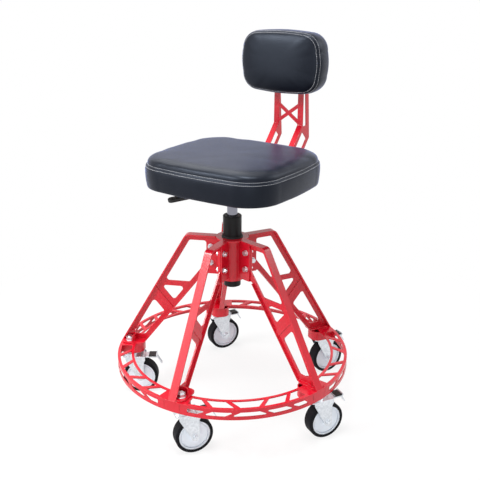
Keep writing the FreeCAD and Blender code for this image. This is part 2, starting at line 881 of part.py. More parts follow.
def bar_between(a, b, width):
    """The four corners of a straight bar round the line from a to b."""
    line = line_through(a, b)
    length = math.hypot(*line[1])
    side = (-line[1][1] / length * width / 2, line[1][0] / length * width / 2)
    return [
        (a[0] + side[0], a[1] + side[1]), (b[0] + side[0], b[1] + side[1]),
        (b[0] - side[0], b[1] - side[1]), (a[0] - side[0], a[1] - side[1]),
    ]


def back_screw_places():
    x = post_x - post_sheet - (post_flange - post_sheet) / 2
    low = back_low_z + back_screw_inset
    high = post_top_z - back_screw_inset / 2
    return [(side * x, z) for side in (-1, 1) for z in (low, high)]


def make_bracket():
    front = plumb(post_front_y)
    kink = (post_front_y, kink_z)
    tongue_low = level(seat_low_z - tongue_sheet)
    arm = line_through(kink, (arm_fall_y, seat_low_z - tongue_sheet))
    back_kink = (post_front_y + post_kink_depth, kink_z - kink_gusset)
    rear = (back_kink, arm[1])
    top_rear = (post_front_y + post_top_depth, post_top_z)
    post_rear = line_through(back_kink, top_rear)
    outline = [
        (post_front_y, post_top_z), kink, meet(arm, tongue_low), meet(rear, tongue_low), back_kink,
        top_rear,
    ]
    slot_front = plumb(post_front_y + post_sheet)
    slot_rear = shifted(post_rear, post_rear_strip)
    slot_top = level(post_top_z - post_rear_strip)
    slot_low = level(kink_z - post_sheet)
    slot = [meet(slot_front, slot_top), meet(slot_front, slot_low), meet(slot_rear, slot_low),
            meet(slot_rear, slot_top)]
    arm_rear = shifted(arm, arm_strip)
    rear_front = shifted(rear, -arm_strip)
    window_low = level(seat_low_z + arm_strip)
    window_high = line_through(kink, back_kink)
    window = [meet(arm_rear, shifted(window_high, -arm_strip)), meet(arm_rear, window_low),
              meet(rear_front, window_low), meet(rear_front, shifted(window_high, -arm_strip))]
    flange_back = plumb(post_front_y + post_sheet)
    flange_arm = shifted(arm, post_sheet)
    flange = [
        (post_front_y, post_top_z), kink, meet(arm, tongue_low), meet(flange_arm, tongue_low),
        meet(flange_arm, flange_back), (post_front_y + post_sheet, post_top_z),
    ]
    inner_x = post_x - post_flange
    tongue_back_y = meet(flange_arm, level(seat_low_z))[0] + arm_strip
    bracket = box(-post_x, post_x, tongue_front_y, tongue_back_y, seat_low_z - tongue_sheet, seat_low_z)
    for x0, x1, flange_x0, flange_x1 in (
        (-post_x, post_sheet - post_x, -post_x, -inner_x), (post_x - post_sheet, post_x, inner_x, post_x),
    ):
        side = stand_side(outline, 0, x0, x1)
        side = side.cut(stand_side(slot, post_sheet, x0 - overrun, x1 + overrun))
        side = side.cut(stand_side(window, post_sheet, x0 - overrun, x1 + overrun))
        bracket = bracket.fuse(side).fuse(stand_side(flange, 0, flange_x0, flange_x1))
    reach = inner_x + post_flange / 2
    high = brace_low_z + brace_height
    for low_x, high_x in ((-reach, reach), (reach, -reach)):
        bar = bar_between((low_x, brace_low_z), (high_x, high), brace_strip)
        bracket = bracket.fuse(upright_plate(bar, 0, post_front_y, post_front_y + post_sheet))
    for x, z in back_screw_places():
        bracket = bracket.cut(through_plate(bore(screw_r + running_gap), x, z))
    return bracket.cut(seat_bolt_holes()).removeSplitter()


def make_back_screws():
    screws = []
    for x, z in back_screw_places():
        seat_y = post_front_y + post_sheet
        tip_y = back_back_y - back_board_thickness + clear_gap
        shank = cylinder(screw_r, -seat_y, -tip_y)
        head = turned(bolt_head(screw_r, seat_y), 180, axis=Vector(1, 0, 0))
        screws.append(through_plate(shank.fuse(head), x, z))
    return Part.makeCompound(screws)


# Casters, each made with its stem on the Z axis and trailing along +X

def on_axle(shape):
    return through_plate(shape, caster_trail, wheel_r)


def make_stem():
    head_top = fork_crown_z - clear_gap
    head_low = head_top - stem_head_height
    collar_low = skirt_low_z - stem_collar_height
    top = foot_plate_top_z + washer_sheet + stem_r * hex_height_share + stem_above_nut
    return lathe([
        (0, head_low), (stem_head_r, head_low), (stem_head_r, head_top), (stem_r, head_top),
        (stem_r, collar_low), (stem_collar_r, collar_low), (stem_collar_r, skirt_low_z),
        (stem_r, skirt_low_z), (stem_r, top), (0, top),
    ])


def make_stem_nut():
    return nut(stem_r, foot_plate_top_z)


def make_fork():
    crown_back = pedal_pin_x - pedal_boss_r - 2 * clear_gap
    crown = [(-fork_crown_front, -fork_outer_y), (crown_back, -fork_outer_y), (crown_back, fork_outer_y),
             (-fork_crown_front, fork_outer_y)]
    rounds = [fork_crown_corner, 0, 0, fork_crown_corner]
    fork = flat_plate(crown, rounds, fork_crown_z, fork_top_z)
    fork = fork.fuse(cylinder(race_r, fork_crown_z, race_top_z))
    ear_back = pedal_pin_x + fork_ear_r
    ear_low = pedal_pin_z - fork_ear_r
    arm = [
        (fork_crown_corner - fork_crown_front, fork_top_z), (ear_back, fork_top_z), (ear_back, ear_low),
        (caster_trail + fork_foot_r, ear_low - fork_ear_r), (caster_trail + fork_foot_r, wheel_r),
        (caster_trail - fork_foot_r, wheel_r), (fork_crown_corner - fork_crown_front, fork_shoulder_z),
    ]
    rounds = [0, fork_ear_r / 2, fork_ear_r / 2, fork_foot_r, 0, 0, fork_foot_r]
    for y0, y1 in ((-fork_outer_y, -fork_inner_y), (fork_inner_y, fork_outer_y)):
        plate = upright_plate(arm, rounds, y0, y1)
        end = on_axle(cylinder(fork_foot_r, -y1, -y0))
        fork = fork.fuse(plate).fuse(end)
    fork = fork.cut(on_axle(bore(axle_r + running_gap)))
    fork = fork.cut(through_plate(bore(pedal_pin_r + running_gap), pedal_pin_x, pedal_pin_z))
    return fork.cut(bore(stem_r + running_gap, fork_crown_z)).removeSplitter()


def make_tread():
    half = tread_width / 2
    inner = wheel_r - tread_depth
    profile = [(inner, -half), (wheel_r, -half), (wheel_r, half), (inner, half)]
    face = Part.Face(rounded_wire(profile, [0, tread_shoulder, tread_shoulder, 0]))
    return on_axle(face.revolve(Vector(0, 0, 0), Vector(0, 0, 1), 360))


def make_core():
    core_r = wheel_r - tread_depth - running_gap
    hub_half = fork_inner_y - 2 * clear_gap
    half = core_width / 2
    face = half - core_dish
    groove_out = core_r - core_rim
    groove_in = groove_out - core_groove
    upper = [
        (axle_r + running_gap, hub_half), (core_hub_r, hub_half), (core_hub_r, face), (groove_in, face),
        (groove_in, face - core_groove), (groove_out, face - core_groove), (groove_out, half),
        (core_r, half),
    ]
    lower = [(r, -z) for r, z in reversed(upper)]
    return on_axle(lathe(upper + lower))


def make_axle():
    axle = cylinder(axle_r, -fork_outer_y, fork_outer_y).fuse(bolt_head(axle_r, fork_outer_y))
    return on_axle(axle.fuse(turned(bolt_head(axle_r, fork_outer_y), 180, axis=Vector(1, 0, 0))))


def make_pedal():
    half = pedal_half_width
    end = pedal_pin_x + pedal_length
    low = pedal_pin_z - pedal_sheet / 2
    top = low + pedal_sheet
    pin = through_plate(cylinder(pedal_pin_r, -fork_outer_y, fork_outer_y), pedal_pin_x, pedal_pin_z)
    boss_half = fork_inner_y - clear_gap
    pedal = pin.fuse(through_plate(cylinder(pedal_boss_r, -boss_half, boss_half), pedal_pin_x, pedal_pin_z))
    pedal = pedal.fuse(box(pedal_pin_x, end, -half, half, low, top))
    pedal = pedal.fuse(box(end - pedal_sheet, end, -half, half, low, top + pedal_lip))
    pad_half = half - pedal_sheet
    pad = box(end - pedal_pad_length, end - pedal_sheet, -pad_half, pad_half, top, top + pedal_pad_height)
    shoe = box(pedal_pin_x - pedal_boss_r, pedal_pin_x + pedal_boss_r, -pad_half, pad_half,
               2 * wheel_r + pedal_shoe_gap, pedal_pin_z)
    tab_half = pedal_tab_half_width
    tab = box(end - pedal_sheet, end + pedal_tab, -tab_half, tab_half, low, top)
    tab = turned(tab, pedal_tab_angle, Vector(end - pedal_sheet, 0, low), Vector(0, 1, 0))
    return pedal.fuse(pad).fuse(shoe).fuse(tab).removeSplitter()


def placed_caster(shape, index):
    stood = moved(turned(shape, caster_angles[index] - leg_angles[index]), caster_r, caster_offset, 0)
    return turned(stood, leg_angles[index])


# All pieces, by name

def make_parts():
    parts = {"hub": make_hub(), "foot_ring": make_ring()}
    parts["hub_bolts"], parts["hub_nuts"] = make_hub_fasteners()
    leg = make_leg()
    bracket = make_foot_bracket()
    for i, angle in enumerate(leg_angles):
        parts[f"leg_{i + 1}"] = turned(leg, angle)
        parts[f"foot_bracket_{i + 1}"] = turned(bracket, angle)
    parts["gas_tube"] = make_gas_tube()
    parts["column_collar"] = make_collar()
    parts["guide_bush"] = make_bush()
    parts["piston_rod"] = make_rod()
    parts["thrust_bearing"] = make_bearing()
    parts["rod_clip"] = make_clip()
    parts["pressure_tube"] = make_pressure_tube()
    parts["valve_pin"] = make_valve_pin()
    parts["seat_plate"] = make_seat_plate()
    parts["seat_bolts"] = make_seat_bolts()
    parts["seat_board"] = make_seat_board()
    parts["seat_cushion"] = make_seat_cushion()
    parts["height_lever"] = make_lever()
    parts["lever_grip"] = make_grip()
    parts["lever_pin"] = make_lever_pin()
    parts["backrest_bracket"] = make_bracket()
    parts["backrest_screws"] = make_back_screws()
    parts["backrest_board"] = make_back_board()
    parts["backrest_pad"] = make_back_pad()
    casters = {
        "fork": make_fork(), "wheel_core": make_core(), "wheel_tread": make_tread(),
        "wheel_axle": make_axle(), "brake_pedal": make_pedal(),
    }
    stem = make_stem()
    stem_nut = make_stem_nut()
    count = range(leg_count)
    parts["caster_stems"] = Part.makeCompound([placed_caster(stem, i) for i in count])
    parts["caster_nuts"] = Part.makeCompound([placed_caster(stem_nut, i) for i in count])
    for i in count:
        for name, shape in casters.items():
            parts[f"{name}_{i + 1}"] = placed_caster(shape, i)
    return parts


os.makedirs("parts", exist_ok=True)
for name, shape in make_parts().items():
    shape.exportStep(f"parts/{name}.step")
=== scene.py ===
import json
import math

import bmesh
import bpy
from mathutils import Matrix, Vector, noise


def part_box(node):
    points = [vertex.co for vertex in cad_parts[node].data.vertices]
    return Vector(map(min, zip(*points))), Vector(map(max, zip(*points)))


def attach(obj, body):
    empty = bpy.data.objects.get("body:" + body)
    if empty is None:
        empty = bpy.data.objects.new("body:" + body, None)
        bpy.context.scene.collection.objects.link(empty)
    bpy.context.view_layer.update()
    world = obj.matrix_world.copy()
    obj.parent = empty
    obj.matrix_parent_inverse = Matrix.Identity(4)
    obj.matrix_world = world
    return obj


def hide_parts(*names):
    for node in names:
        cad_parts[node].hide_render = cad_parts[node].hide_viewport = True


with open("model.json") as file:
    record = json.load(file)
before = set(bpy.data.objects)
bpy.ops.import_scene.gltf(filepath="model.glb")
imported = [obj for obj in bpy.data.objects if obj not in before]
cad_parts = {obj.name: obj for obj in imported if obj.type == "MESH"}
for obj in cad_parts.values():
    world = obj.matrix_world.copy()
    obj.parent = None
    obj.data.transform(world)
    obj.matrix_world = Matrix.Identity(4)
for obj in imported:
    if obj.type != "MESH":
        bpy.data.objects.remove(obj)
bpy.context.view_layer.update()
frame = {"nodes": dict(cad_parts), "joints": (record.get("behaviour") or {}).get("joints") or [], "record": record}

# Workshop stool on five casters: finishes, padded seat and backrest, stitching and small trim.
# Metres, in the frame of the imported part: origin on the floor under the column, the seat faces -Y.

scene = bpy.context.scene
nodes = frame["nodes"]
caster_numbers = range(1, 6)

# Camera
camera_distance = 1.912
camera_height = 1.178
camera_azimuth = 34.1
camera_fall = 19.7
camera_lens = 57.0
camera_shift = (0.016, -0.011)
right_angle = math.radians(90)

# Padded pieces
pad_side_steps = 22
pad_corner_steps = 22
seat_corner = 0.090
seat_bow = 0.005
seat_pocket_share = 0.957
seat_pocket_depth = 0.0124
back_corner = 0.048
back_bow = 0.004
back_pocket_share = 0.930
back_pocket_depth = 0.0104
pocket_roof_shares = (0.08, 0.55, 1.0)
pocket_lip_share = 0.004
held_rings = 7
cloth_pressure = 4.0
cloth_frames = 20
cloth_quality = 6
cloth_mass = 0.25
cloth_stretch = 20.0
cloth_bend = 2.0
swell_limit = 0.003
soften_turns = 25
groove_depth = 0.0018
dimple_depth = 0.0004
unevenness = 0.0006
unevenness_scale = 22.0
stitch_pitch = 0.0046
stitch_length = 0.0036
stitch_r = 0.0005
stitch_sides = 6
stitch_sink_share = 0.5
stitch_profile_shares = ((-0.50, 0.30), (-0.38, 0.85), (0.0, 1.0), (0.38, 0.85), (0.50, 0.30))

# Brake pedal inserts
insert_start = 0.0529
insert_length = 0.0217
insert_half_width = 0.0127
insert_low_z = 0.1130
insert_height = 0.0042
insert_edge = 0.0004
insert_edge_steps = 2
insert_ribs = 5
insert_rib_shares = ((0.08, 0.82), (0.22, 1.0), (0.68, 1.0), (0.82, 0.82))

# Floor and lights: name, place, target, size and power
white = (1.0, 1.0, 1.0, 1.0)
floor_half = 60.0
floor_colour = (0.90, 0.90, 0.90, 1.0)
floor_roughness = 0.9
floor_specular = 0.1
floor_glow_share = 0.80
floor_fade = (0.40, 1.2)
ambient_light = 0.36
lights = (
    ("top", (0.1, -0.5, 2.9), (0.0, 0.0, 0.5), 0.8, 44.0),
    ("key", (-1.1, -1.70, 2.2), (0.0, 0.0, 0.55), 0.85, 44.0),
    ("rim", (1.75, 1.40, 2.0), (0.0, 0.0, 0.35), 1.4, 18.0),
    ("back", (-1.0, 0.6, 2.3), (0.0, 0.0, 0.6), 1.3, 17.0),
    ("fill", (1.6, -2.6, 0.9), (0.0, 0.0, 0.3), 1.6, 10.0),
    ("front", (-1.1, -1.7, 1.05), (0.0, 0.2, 0.97), 0.9, 9.0),
)

# Each ring of a pad is (share of its thickness, share of its outline). A pad's rows are its lower stitches,
# its seam and its upper stitches, counted with the pocket's four rings first.
seat_rings = (
    (0.004, 0.962), (0.003, 0.972), (0.012, 0.980), (0.040, 0.985), (0.100, 0.989), (0.200, 0.994),
    (0.310, 0.998), (0.410, 1.000), (0.500, 1.000), (0.570, 0.999), (0.615, 0.997),
    (0.642, 0.995), (0.660, 0.993), (0.674, 0.991), (0.687, 0.988), (0.700, 0.987), (0.714, 0.986),
    (0.732, 0.984), (0.762, 0.983), (0.795, 0.980), (0.828, 0.974), (0.858, 0.964), (0.881, 0.951),
    (0.897, 0.935), (0.907, 0.915), (0.913, 0.888), (0.917, 0.848), (0.920, 0.790), (0.922, 0.710),
    (0.924, 0.600), (0.926, 0.470), (0.928, 0.310), (0.929, 0.130),
)
seat_rows = (15, 18, 21)
back_rings = (
    (0.004, 0.940), (0.003, 0.956), (0.012, 0.968), (0.040, 0.976), (0.100, 0.984), (0.200, 0.992),
    (0.310, 0.997), (0.420, 1.000), (0.520, 0.999), (0.600, 0.996), (0.680, 0.988),
    (0.735, 0.978), (0.757, 0.972), (0.778, 0.965), (0.797, 0.957), (0.812, 0.952), (0.828, 0.944),
    (0.846, 0.934), (0.869, 0.912), (0.890, 0.882), (0.908, 0.845), (0.924, 0.800), (0.938, 0.745),
    (0.950, 0.680), (0.960, 0.600), (0.968, 0.505), (0.974, 0.400), (0.978, 0.290), (0.980, 0.180),
    (0.981, 0.080),
)
back_rows = (15, 18, 21)

# Finishes. Colours are linear, a noise is (scale per metre, detail), with its roughness last where that
# isn't the usual one, a bump is (depth in metres, strength), stops are (place, colour).
edge_samples = 4
edge_range = (0.98, 0.75)
# A look's worn colour lightens its edges: partly wear, partly a painted highlight along them.
looks = {
    "red_powder_coat": {
        "edge_radius": 0.0012,
        "wear_and_highlight": (0.82, 0.070, 0.090),
        "patch_noise": (14.0, 4.0),
        "stops": ((0.30, (0.56, 0.003, 0.016)), (0.70, (0.64, 0.005, 0.023))),
        "rough_noise": (60.0, 3.0),
        "rough": (0.16, 0.26),
        "grain_noise": (900.0, 2.0),
        "grain_bump": (0.0002, 0.35),
        "specular": 0.50,
    },
    "black_paint": {
        "edge_radius": 0.0010,
        "wear_and_highlight": (0.05, 0.05, 0.05),
        "patch_noise": (20.0, 3.0),
        "stops": ((0.3, (0.005, 0.005, 0.005)), (0.7, (0.008, 0.008, 0.010))),
        "rough_noise": (70.0, 3.0),
        "rough": (0.28, 0.42),
        "grain_noise": (1100.0, 2.0),
        "grain_bump": (0.0002, 0.3),
        "specular": 0.20,
    },
    "black_plastic": {
        "edge_radius": 0.0008,
        "wear_and_highlight": (0.045, 0.045, 0.045),
        "patch_noise": (30.0, 3.0),
        "stops": ((0.3, (0.011, 0.011, 0.011)), (0.7, (0.019, 0.019, 0.021))),
        "rough_noise": (90.0, 3.0),
        "rough": (0.42, 0.58),
        "grain_noise": (1600.0, 1.0),
        "grain_bump": (0.0003, 0.4),
        "specular": 0.3,
    },
    "wheel_plastic": {
        "edge_radius": 0.0008,
        "wear_and_highlight": (0.92, 0.92, 0.96),
        "patch_noise": (40.0, 4.0),
        "stops": ((0.3, (0.77, 0.83, 0.90)), (0.7, (0.82, 0.87, 0.94))),
        "rough_noise": (110.0, 3.0),
        "rough": (0.34, 0.46),
        "grain_noise": (1200.0, 1.0),
        "grain_bump": (0.0001, 0.3),
        "specular": 0.5,
    },
    "zinc": {
        "edge_radius": 0.0008,
        "wear_and_highlight": (0.90, 0.92, 0.94),
        "spangle_scale": 260.0,
        "cloud_share": 0.5,
        "patch_noise": (45.0, 4.0),
        "stops": ((0.25, (0.60, 0.63, 0.67)), (0.75, (0.80, 0.83, 0.87))),
        "rough_noise": (120.0, 4.0),
        "rough": (0.24, 0.44),
        "grain_noise": (500.0, 2.0),
        "grain_bump": (0.0001, 0.25),
        "metallic": 1.0,
    },
    "chrome": {
        "patch_noise": (25.0, 3.0),
        "stops": ((0.3, (0.25, 0.25, 0.29)), (0.7, (0.30, 0.30, 0.35))),
        "rough_noise": (180.0, 4.0),
        "rough": (0.05, 0.11),
        "metallic": 1.0,
    },
    "vinyl": {
        "cell_scale": 620.0,
        "crease_range": (0.0, 0.22),
        "crease": (0.002, 0.002, 0.004),
        "crease_bump": (0.00012, 0.40),
        "pore_noise": (1500.0, 2.0),
        "pore_bump": (0.0001, 0.25),
        "dent_noise": (230.0, 3.0, 0.6),
        "dent_bump": (0.0004, 0.25),
        "patch_noise": (16.0, 5.0),
        "stops": ((0.30, (0.004, 0.005, 0.009)), (0.70, (0.006, 0.007, 0.012))),
        "rough": (0.29, 0.38),
        "specular": 0.27,
        "specular_tint": (0.68, 0.80, 1.0, 1.0),
        "sheen": 0.42,
        "sheen_roughness": 0.26,
        "sheen_tint": (0.12, 0.26, 1.0, 1.0),
    },
    "thread": {
        "twist_scale": 700.0,
        "twist_distortion": 2.0,
        "twist_bump": (0.0002, 0.5),
        "stops": ((0.2, (0.36, 0.37, 0.40)), (0.8, (0.56, 0.57, 0.60))),
        "roughness": 0.75,
    },
    "plywood": {
        "stretch": (1.0, 9.0, 9.0),
        "grain_noise": (9.0, 6.0, 0.6),
        "stops": (
            (0.30, (0.045, 0.028, 0.017)), (0.55, (0.075, 0.050, 0.031)), (0.75, (0.10, 0.070, 0.045)),
        ),
        "fibre_noise": (90.0, 3.0),
        "fibre_bump": (0.0004, 0.5),
        "rough": (0.55, 0.75),
    },
    "tread_rubber": {
        "patch_noise": (70.0, 5.0),
        "stops": ((0.35, (0.005, 0.005, 0.007)), (0.75, (0.010, 0.010, 0.013))),
        "rough": (0.50, 0.68),
        "grain_noise": (1300.0, 2.0),
        "grain_bump": (0.0003, 0.4),
        "specular": 0.1,
    },
}


# Node tools for the materials

def add_node(tree, kind, **values):
    """Add a shader node and set its sockets by name, from values or from other sockets."""
    node = tree.nodes.new(kind)
    for name, value in values.items():
        socket = node.inputs[name.replace("_", " ")]
        if isinstance(value, bpy.types.NodeSocket):
            tree.links.new(value, socket)
        else:
            socket.default_value = value
    return node


def start_material(name):
    made = bpy.data.materials.new(name)
    made.use_nodes = True
    tree = made.node_tree
    shader = tree.nodes["Principled BSDF"]
    place = tree.nodes.new("ShaderNodeTexCoord").outputs["Object"]
    return made, tree, shader, place


def noise_value(tree, place, scale, detail, roughness=0.5):
    node = add_node(
        tree, "ShaderNodeTexNoise", Vector=place, Scale=scale, Detail=detail, Roughness=roughness)
    return node.outputs["Fac"]


def ramp(tree, value, stops):
    """Map a value to colours or greys through stops of (position, colour)."""
    node = add_node(tree, "ShaderNodeValToRGB", Fac=value)
    elements = node.color_ramp.elements
    while len(elements) < len(stops):
        elements.new(1.0)
    for element, (position, colour) in zip(elements, stops):
        element.position = position
        element.color = (*colour, 1.0) if len(colour) == 3 else colour
    return node.outputs["Color"]


def spread(tree, value, low, high):
    """Map a 0 to 1 value to the range from low to high."""
    node = add_node(tree, "ShaderNodeMapRange", Value=value)
    node.inputs["To Min"].default_value = low
    node.inputs["To Max"].default_value = high
    return node.outputs["Result"]


def mixed(tree, factor, first, second):
    node = tree.nodes.new("ShaderNodeMix")
    node.data_type = "RGBA"
    for socket, value in (("Factor", factor), ("A", first), ("B", second)):
        target = [s for s in node.inputs if s.name == socket and s.enabled][0]
        if isinstance(value, bpy.types.NodeSocket):
            tree.links.new(value, target)
        else:
            target.default_value = (*value, 1.0) if isinstance(value, tuple) else value
    return [s for s in node.outputs if s.enabled][0]


def spread_between(tree, value, start, end):
    """Map the range from start to end to 0 to 1."""
    node = add_node(tree, "ShaderNodeMapRange", Value=value)
    node.inputs["From Min"].default_value = start
    node.inputs["From Max"].default_value = end
    return node.outputs["Result"]


def edge_mask(tree, radius):
    """How near a point is to a sharp edge, from the change that rounding makes to its normal."""
    rounded = add_node(tree, "ShaderNodeBevel", Radius=radius)
    rounded.samples = edge_samples
    flat = tree.nodes.new("ShaderNodeNewGeometry").outputs["Normal"]
    dot = tree.nodes.new("ShaderNodeVectorMath")
    dot.operation = "DOT_PRODUCT"
    tree.links.new(rounded.outputs["Normal"], dot.inputs[0])
    tree.links.new(flat, dot.inputs[1])
    return spread_between(tree, dot.outputs["Value"], *edge_range), rounded.outputs["Normal"]


def bumped(tree, height, depth, strength, normal=None):
    node = add_node(tree, "ShaderNodeBump", Height=height, Distance=depth, Strength=strength)
    if normal is not None:
        tree.links.new(normal, node.inputs["Normal"])
    return node.outputs["Normal"]


def connect(tree, shader, **sockets):
    for name, value in sockets.items():
        socket = shader.inputs[name.replace("_", " ")]
        if isinstance(value, bpy.types.NodeSocket):
            tree.links.new(value, socket)
        else:
            socket.default_value = value


# Materials

def coated(name):
    """Paint or moulded plastic: patchy colour, edges lightened partly as wear and partly as a painted highlight,
    and a fine grain.
    """
    look = looks[name]
    made, tree, shader, place = start_material(name)
    wear_and_highlight, rounded = edge_mask(tree, look["edge_radius"])
    coat = ramp(tree, noise_value(tree, place, *look["patch_noise"]), look["stops"])
    # Edges take the worn colour: partly wear, partly a painted highlight where rounded edges would catch light.
    colour = mixed(tree, wear_and_highlight, coat, look["wear_and_highlight"])
    grain = noise_value(tree, place, *look["grain_noise"])
    rough = spread(tree, noise_value(tree, place, *look["rough_noise"]), *look["rough"])
    normal = bumped(tree, grain, *look["grain_bump"], rounded)
    connect(tree, shader, Base_Color=colour, Roughness=rough, Normal=normal)
    connect(tree, shader, Specular_IOR_Level=look["specular"])
    return made


def galvanised(name):
    """Zinc plate with a faint spangle, brighter along its edges: partly wear, partly a painted highlight."""
    look = looks[name]
    made, tree, shader, place = start_material(name)
    wear_and_highlight, rounded = edge_mask(tree, look["edge_radius"])
    spangle = add_node(tree, "ShaderNodeTexVoronoi", Vector=place, Scale=look["spangle_scale"])
    clouds = noise_value(tree, place, *look["patch_noise"])
    patches = mixed(tree, look["cloud_share"], spangle.outputs["Color"], clouds)
    # Edges take the worn colour: partly wear, partly a painted highlight.
    colour = mixed(tree, wear_and_highlight, ramp(tree, patches, look["stops"]), look["wear_and_highlight"])
    rough = spread(tree, noise_value(tree, place, *look["rough_noise"]), *look["rough"])
    scuffs = noise_value(tree, place, *look["grain_noise"])
    normal = bumped(tree, scuffs, *look["grain_bump"], rounded)
    connect(tree, shader, Base_Color=colour, Roughness=rough, Normal=normal, Metallic=look["metallic"])
    return made


def polished(name):
    look = looks[name]
    made, tree, shader, place = start_material(name)
    tint = ramp(tree, noise_value(tree, place, *look["patch_noise"]), look["stops"])
    rough = spread(tree, noise_value(tree, place, *look["rough_noise"]), *look["rough"])
    connect(tree, shader, Base_Color=tint, Roughness=rough, Metallic=look["metallic"])
    return made


def grained(name):
    """Vinyl with creases between its grains, pores and shallow dents."""
    look = looks[name]
    made, tree, shader, place = start_material(name)
    cells = add_node(tree, "ShaderNodeTexVoronoi", Vector=place, Scale=look["cell_scale"])
    cells.feature = "DISTANCE_TO_EDGE"
    pores = noise_value(tree, place, *look["pore_noise"])
    creases = spread_between(tree, cells.outputs["Distance"], *look["crease_range"])
    patches = noise_value(tree, place, *look["patch_noise"])
    dents = noise_value(tree, place, *look["dent_noise"])
    colour = mixed(tree, creases, look["crease"], ramp(tree, patches, look["stops"]))
    rough = spread(tree, patches, *look["rough"])
    fine = bumped(tree, pores, *look["pore_bump"], bumped(tree, dents, *look["dent_bump"]))
    normal = bumped(tree, creases, *look["crease_bump"], fine)
    connect(tree, shader, Base_Color=colour, Roughness=rough, Normal=normal)
    connect(tree, shader, Specular_IOR_Level=look["specular"], Specular_Tint=look["specular_tint"])
    connect(tree, shader, Sheen_Weight=look["sheen"], Sheen_Roughness=look["sheen_roughness"])
    connect(tree, shader, Sheen_Tint=look["sheen_tint"])
    return made


def twisted(name):
    look = looks[name]
    made, tree, shader, place = start_material(name)
    twist = add_node(tree, "ShaderNodeTexWave", Vector=place, Scale=look["twist_scale"],
                     Distortion=look["twist_distortion"]).outputs["Fac"]
    colour = ramp(tree, twist, look["stops"])
    normal = bumped(tree, twist, *look["twist_bump"])
    connect(tree, shader, Base_Color=colour, Roughness=look["roughness"], Normal=normal)
    return made


def wooden(name):
    look = looks[name]
    made, tree, shader, place = start_material(name)
    stretch = add_node(tree, "ShaderNodeMapping", Vector=place, Scale=look["stretch"]).outputs["Vector"]
    grain = noise_value(tree, stretch, *look["grain_noise"])
    fibre = noise_value(tree, stretch, *look["fibre_noise"])
    colour = ramp(tree, grain, look["stops"])
    rough = spread(tree, fibre, *look["rough"])
    normal = bumped(tree, fibre, *look["fibre_bump"])
    connect(tree, shader, Base_Color=colour, Roughness=rough, Normal=normal)
    return made


def rubbery(name):
    look = looks[name]
    made, tree, shader, place = start_material(name)
    dust = noise_value(tree, place, *look["patch_noise"])
    colour = ramp(tree, dust, look["stops"])
    rough = spread(tree, dust, *look["rough"])
    grain = noise_value(tree, place, *look["grain_noise"])
    normal = bumped(tree, grain, *look["grain_bump"])
    connect(tree, shader, Base_Color=colour, Roughness=rough, Normal=normal)
    connect(tree, shader, Specular_IOR_Level=look["specular"])
    return made


makers = {
    "red_powder_coat": coated, "black_paint": coated, "black_plastic": coated, "zinc": galvanised,
    "chrome": polished, "vinyl": grained, "thread": twisted, "plywood": wooden, "tread_rubber": rubbery,
    "wheel_plastic": coated,
}
materials = {name: maker(name) for name, maker in makers.items()}


# The CAD nodes keep their shapes and get these finishes

slot_of = {part["node"]: part["material_slot"] for part in frame["record"]["subparts"]}
for node_name, node in nodes.items():
    node.data.materials.clear()
    node.data.materials.append(materials[slot_of[node_name]])


# Padded pieces

def pad_outline(half_x, half_y, corner, bow):
    """A closed rounded rectangle whose sides bow out a little, from one quarter and its mirrors."""
    x_in = half_x - bow
    y_in = half_y - bow
    cx = x_in - corner
    cy = y_in - corner
    quarter = []
    for i in range(pad_side_steps):
        t = i / pad_side_steps
        quarter.append((x_in + bow * (1 - t * t), t * cy))
    for i in range(pad_corner_steps):
        angle = right_angle * i / pad_corner_steps
        quarter.append((cx + corner * math.cos(angle), cy + corner * math.sin(angle)))
    for i in range(pad_side_steps, -1, -1):
        t = i / pad_side_steps
        quarter.append((t * cx, y_in + bow * (1 - t * t)))
    back = quarter[::-1]
    loop = quarter[:-1]
    loop += [(-x, y) for x, y in back[:-1]]
    loop += [(-x, -y) for x, y in quarter[:-1]]
    loop += [(x, -y) for x, y in back[:-1]]
    return loop


def pad_mesh(name, outline, thickness, rings):
    """A closed pad lying on z = 0: one ring of points for each (height share, outline share)."""
    made = bpy.data.meshes.new(name)
    shape = bmesh.new()
    loops = []
    for height_share, outline_share in rings:
        z = thickness * height_share
        loops.append([shape.verts.new((x * outline_share, y * outline_share, z)) for x, y in outline])
    count = len(outline)
    for low, high in zip(loops, loops[1:]):
        for i in range(count):
            j = (i + 1) % count
            shape.faces.new((low[i], low[j], high[j], high[i]))
    for loop, height_share in ((loops[0][::-1], rings[0][0]), (loops[-1], rings[-1][0])):
        centre = shape.verts.new((0, 0, thickness * height_share))
        for i in range(count):
            shape.faces.new((loop[i], loop[(i + 1) % count], centre))
    for face in shape.faces:
        face.smooth = True
    shape.to_mesh(made)
    shape.free()
    return made


def softened(pad, moves):
    """Even out the points' moves with their neighbours', as foam under vinyl does."""
    near = [[] for move in moves]
    for edge in pad.data.edges:
        a, b = edge.vertices
        near[a].append(b)
        near[b].append(a)
    for turn in range(soften_turns):
        moves = [(move + sum((moves[i] for i in around), Vector())) / (1 + len(around))
                 for move, around in zip(moves, near)]
    return moves


